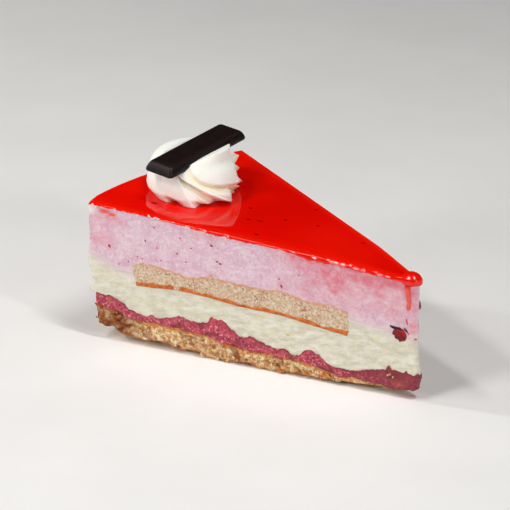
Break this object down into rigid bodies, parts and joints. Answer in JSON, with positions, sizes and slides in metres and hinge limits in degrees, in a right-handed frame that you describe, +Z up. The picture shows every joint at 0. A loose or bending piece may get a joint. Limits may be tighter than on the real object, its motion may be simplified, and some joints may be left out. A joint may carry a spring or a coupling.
{
  "type": "entremet cake slice",
  "caption": "Wedge of layered mousse cake with red glaze, sponge and fruit layers, piped cream rosette and a plain chocolate bar.",
  "frame": {"origin": "middle of the slice's footprint box, on the surface it rests on", "axes": "+X towards the tip of the slice, +Z up, the shown cut face towards -Y"},
  "size_m": [0.1224, 0.0738, 0.0672],
  "materials": {
    "biscuit": "matte",
    "fruit_layer": "satin",
    "vanilla_mousse": "matte",
    "sponge": "matte",
    "raspberry_mousse": "matte",
    "glaze": "gloss",
    "whipped_cream": "satin",
    "chocolate": "satin",
    "berry": "gloss"
  },
  "bodies": {
    "root": {"biscuit_base": "biscuit", "raspberry_layer": "fruit_layer", "vanilla_mousse": "vanilla_mousse", "sponge_slab": "sponge", "raspberry_mousse": "raspberry_mousse", "glaze": "glaze", "cream_rosette": "whipped_cream", "chocolate_bar": "chocolate", "berry_front": "berry", "berry_back": "berry"}
  },
  "joints": []
}
